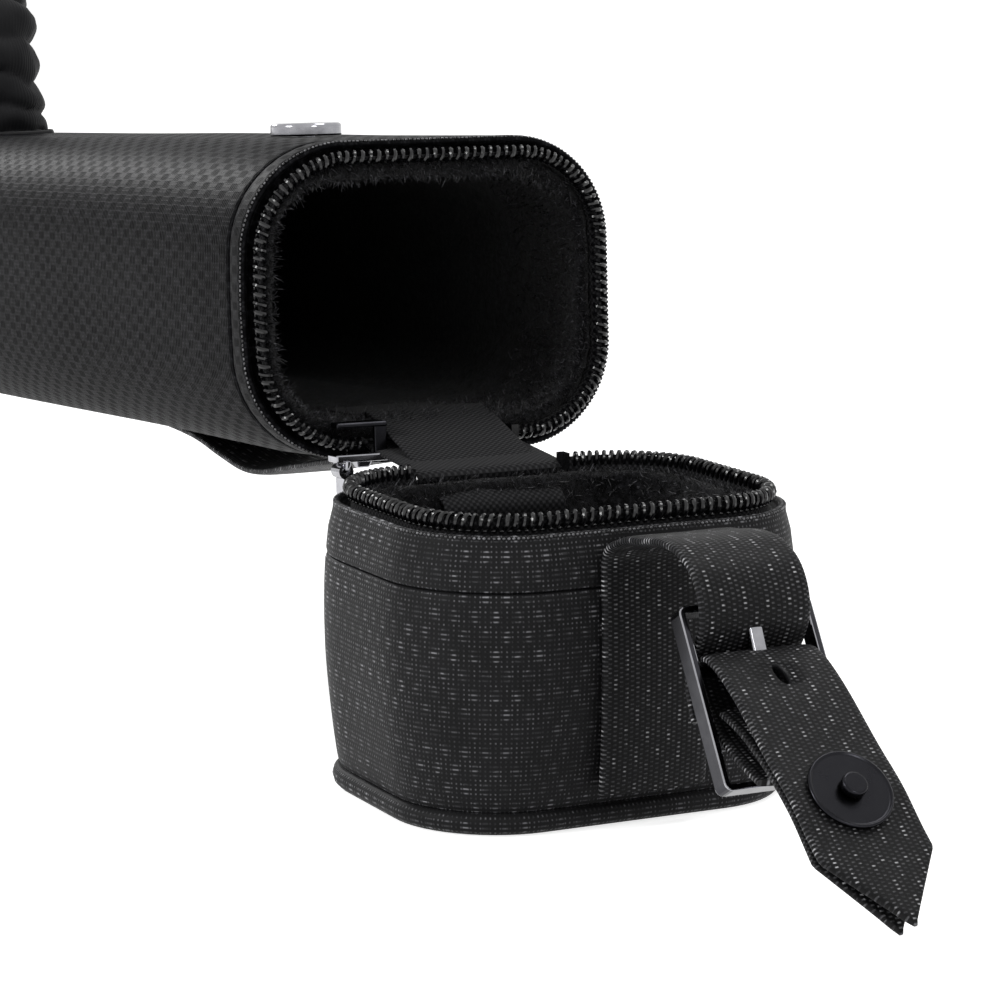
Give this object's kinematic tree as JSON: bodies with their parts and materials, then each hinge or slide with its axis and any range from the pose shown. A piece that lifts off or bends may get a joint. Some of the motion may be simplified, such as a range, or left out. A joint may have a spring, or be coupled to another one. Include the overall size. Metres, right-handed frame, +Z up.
{
  "type": "cue case",
  "caption": "Padded box-section tube with a zip-on lid hanging open on a fabric hinge, a buckled strap with a snap, and a carrying handle.",
  "frame": {"origin": "middle of the whole case's footprint, on the floor it stands on", "axes": "+X from the closed end towards the mouth, level with the floor; +Z up; the tube leans up towards its mouth by about 3.7 degrees"},
  "size_m": [0.9872, 0.0784, 0.1457],
  "materials": {
    "case_leather": "embossed PU leather, satin",
    "strap_leather": "ribbed PU leather, satin",
    "board": "bare fibre board",
    "plush": "short pile velvet",
    "zip_fabric": "ribbed woven tape",
    "nylon_coil": "satin nylon",
    "sleeve_fabric": "gathered stretch fabric",
    "nickel": "polished nickel",
    "gunmetal": "polished black nickel"
  },
  "bodies": {
    "tube": {"tube_board": "board", "tube_cover": "case_leather", "tube_edge_band": "case_leather", "tube_end_board": "board", "tube_end_cover": "case_leather", "tube_end_pad": "plush", "tube_lining": "plush", "tube_piping": "case_leather", "tube_zip_coil": "nylon_coil", "tube_zip_stop": "nickel", "tube_zip_tape": "zip_fabric", "snap_socket": "nickel", "snap_shank": "nickel", "handle_patch_front": "case_leather", "handle_patch_rear": "case_leather", "loop_front": "case_leather", "loop_rear": "case_leather", "hinge_flap": "zip_fabric", "webbing_tube_end": "zip_fabric"},
    "slider": {"zip_slider": "nickel"},
    "pull_tab": {"zip_pull_tab": "nickel"},
    "handle": {"handle_sleeve": "sleeve_fabric", "handle_web": "sleeve_fabric"},
    "lid": {"lid_board": "board", "lid_cover": "case_leather", "lid_edge_band": "case_leather", "lid_end_board": "board", "lid_end_cover": "case_leather", "lid_end_pad": "plush", "lid_lining": "plush", "lid_piping": "case_leather", "lid_zip_coil": "nylon_coil", "lid_zip_stop": "nickel", "lid_zip_tape": "zip_fabric", "webbing_lid_end": "zip_fabric", "strap_sewn": "strap_leather"},
    "shoulder": {"strap_shoulder": "strap_leather"},
    "drop": {"strap_drop": "strap_leather", "buckle_frame": "gunmetal", "buckle_prong": "nickel"},
    "tongue": {"tongue_front": "strap_leather", "tongue_back": "strap_leather", "snap_plate": "gunmetal", "tongue_washer": "nickel", "snap_stud": "nickel"}
  },
  "joints": [
    {"name": "lid_hinge", "type": "hinge", "parent": "tube", "child": "lid", "pos_m": [0.34248, 0, 0.0485], "axis": [0, -1, 0], "range_deg": [-40, 93.67]},
    {"name": "handle_swing", "type": "hinge", "parent": "tube", "child": "handle", "pos_m": [-0.0092, 0, 0.09616], "axis": [0.9979, 0, 0.0641], "range_deg": [-40, 40]},
    {"name": "slider_travel", "type": "hinge", "parent": "tube", "child": "slider", "pos_m": [0.33093, -0.018, 0.07391], "axis": [-0.9979, 0, -0.0641], "range_deg": [0, 88]},
    {"name": "pull_tab_swing", "type": "hinge", "parent": "slider", "child": "pull_tab", "pos_m": [0.33296, -0.022, 0.0524], "axis": [0.9979, 0, 0.0641], "range_deg": [-75, 75]},
    {"name": "strap_root_bend", "type": "hinge", "parent": "lid", "child": "shoulder", "pos_m": [0.41048, 0.0015, 0.0503], "axis": [0, -1, 0], "range_deg": [0, 45]},
    {"name": "strap_crest_bend", "type": "hinge", "parent": "shoulder", "child": "drop", "pos_m": [0.43058, 0.0015, 0.0546], "axis": [0, -1, 0], "range_deg": [0, 95]},
    {"name": "tongue_swing", "type": "hinge", "parent": "drop", "child": "tongue", "pos_m": [0.44488, 0.0015, 0.0351], "axis": [0, -1, 0], "range_deg": [-8.1, 0.5]}
  ],
  "couplings": [
    {"joint": "strap_crest_bend", "follows": "strap_root_bend", "ratio": 2.1089},
    {"joint": "tongue_swing", "follows": "strap_root_bend", "ratio": -0.1778}
  ]
}
